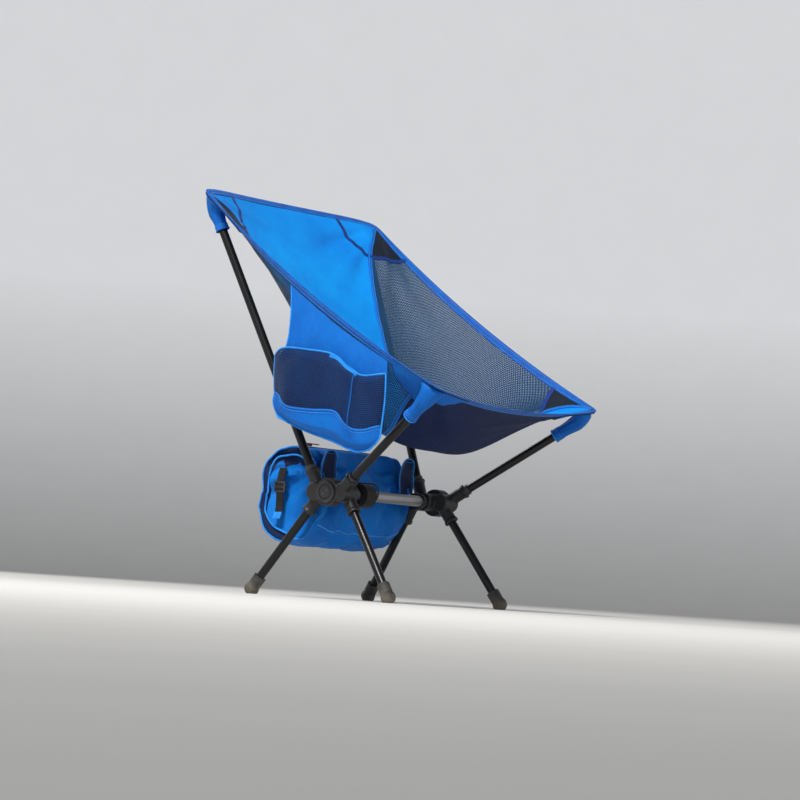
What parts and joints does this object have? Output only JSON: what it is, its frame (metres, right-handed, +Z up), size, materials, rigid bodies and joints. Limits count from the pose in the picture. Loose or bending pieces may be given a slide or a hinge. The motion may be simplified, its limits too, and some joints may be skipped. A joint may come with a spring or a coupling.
{
  "type": "ultralight backpacking chair",
  "caption": "Low camping chair: taut blue fabric and mesh sling on thin black poles from two moulded hubs, with a side pocket and a carry bag under the seat.",
  "frame": {"origin": "on the ground, under the middle of the chair's box", "axes": "+Z up, the chair faces -Y, +X is the sitter's left"},
  "size_m": [0.4813, 0.5228, 0.6531],
  "materials": {
    "cap_plastic": "satin",
    "hub_plastic": "matte",
    "crossbar_aluminium": "satin",
    "black_plastic": "satin",
    "cord": "matte",
    "ferrule_aluminium": "satin",
    "foot_rubber": "matte",
    "pole_black": "satin",
    "mesh_fabric": "matte",
    "hem_fabric": "matte",
    "corner_fabric": "matte",
    "blue_fabric": "matte",
    "bag_fabric": "matte",
    "navy_fabric": "matte",
    "webbing": "matte"
  },
  "bodies": {
    "frame": {"bag_buckle": "black_plastic", "bag_tabs": "navy_fabric", "bag_webbing": "webbing", "bag_zip_tape": "navy_fabric", "crossbar": "crossbar_aluminium", "crossbar_collar_left": "black_plastic", "crossbar_collar_right": "black_plastic", "crossbar_strap": "webbing", "front_hem": "hem_fabric", "front_pole_left": "pole_black", "front_pole_right": "pole_black", "front_pole_tip_left": "black_plastic", "front_pole_tip_right": "black_plastic", "hub_cap_left": "cap_plastic", "hub_cap_right": "cap_plastic", "hub_left": "hub_plastic", "hub_right": "hub_plastic", "pole_collars": "black_plastic", "rear_pole_left_ferrule": "ferrule_aluminium", "rear_pole_left_lower": "pole_black", "rear_pole_left_upper": "pole_black", "rear_pole_right_ferrule": "ferrule_aluminium", "rear_pole_right_lower": "pole_black", "rear_pole_right_upper": "pole_black", "rear_pole_tip_left": "black_plastic", "rear_pole_tip_right": "black_plastic", "seat_panel": "blue_fabric", "side_hem_left": "hem_fabric", "side_hem_right": "hem_fabric", "side_mesh_left": "mesh_fabric", "side_mesh_right": "mesh_fabric", "side_pocket_back": "blue_fabric", "side_pocket_base": "blue_fabric", "side_pocket_mesh": "mesh_fabric", "storage_bag": "bag_fabric", "strap_cord_loop": "cord", "top_hem": "hem_fabric", "upper_shock_cords": "cord"},
    "front_leg_left": {"front_foot_left": "foot_rubber", "front_leg_left": "pole_black", "front_leg_left_shock_cord": "cord"},
    "front_corner_left": {"front_patch_left": "corner_fabric", "front_pocket_left": "corner_fabric"},
    "front_leg_right": {"front_foot_right": "foot_rubber", "front_leg_right": "pole_black", "front_leg_right_shock_cord": "cord"},
    "front_corner_right": {"front_patch_right": "corner_fabric", "front_pocket_right": "corner_fabric"},
    "rear_leg_left": {"rear_foot_left": "foot_rubber", "rear_leg_left": "pole_black", "rear_leg_left_shock_cord": "cord"},
    "rear_corner_left": {"rear_patch_left": "corner_fabric", "rear_pocket_left": "corner_fabric"},
    "rear_leg_right": {"rear_foot_right": "foot_rubber", "rear_leg_right": "pole_black", "rear_leg_right_shock_cord": "cord"},
    "rear_corner_right": {"rear_patch_right": "corner_fabric", "rear_pocket_right": "corner_fabric"},
    "zip_slider": {"bag_zip_slider": "black_plastic"}
  },
  "joints": [
    {"name": "front_leg_left_pull", "type": "slide", "parent": "frame", "child": "front_leg_left", "axis": [0.1276, -0.5723, -0.8101], "range_m": [0, 0.036], "stiffness_N_per_m": 150, "springref_m": -0.1},
    {"name": "front_leg_right_pull", "type": "slide", "parent": "frame", "child": "front_leg_right", "axis": [-0.1276, -0.5723, -0.8101], "range_m": [0, 0.036], "stiffness_N_per_m": 150, "springref_m": -0.1},
    {"name": "rear_leg_left_pull", "type": "slide", "parent": "frame", "child": "rear_leg_left", "axis": [0.1568, 0.5434, -0.8247], "range_m": [0, 0.036], "stiffness_N_per_m": 150, "springref_m": -0.1},
    {"name": "rear_leg_right_pull", "type": "slide", "parent": "frame", "child": "rear_leg_right", "axis": [-0.1568, 0.5434, -0.8247], "range_m": [0, 0.036], "stiffness_N_per_m": 150, "springref_m": -0.1},
    {"name": "front_corner_left_slip", "type": "slide", "parent": "frame", "child": "front_corner_left", "axis": [0.2697, -0.7846, 0.5583], "range_m": [0, 0.064], "stiffness_N_per_m": 400, "springref_m": -0.03},
    {"name": "front_corner_right_slip", "type": "slide", "parent": "frame", "child": "front_corner_right", "axis": [-0.2697, -0.7846, 0.5583], "range_m": [0, 0.064], "stiffness_N_per_m": 400, "springref_m": -0.03},
    {"name": "rear_corner_left_slip", "type": "slide", "parent": "frame", "child": "rear_corner_left", "axis": [0.132, 0.4081, 0.9033], "range_m": [0, 0.045], "stiffness_N_per_m": 400, "springref_m": -0.03},
    {"name": "rear_corner_right_slip", "type": "slide", "parent": "frame", "child": "rear_corner_right", "axis": [-0.132, 0.4081, 0.9033], "range_m": [0, 0.045], "stiffness_N_per_m": 400, "springref_m": -0.03},
    {"name": "zip_slider_travel", "type": "slide", "parent": "frame", "child": "zip_slider", "axis": [1, 0, 0], "range_m": [0, 0.168]}
  ]
}
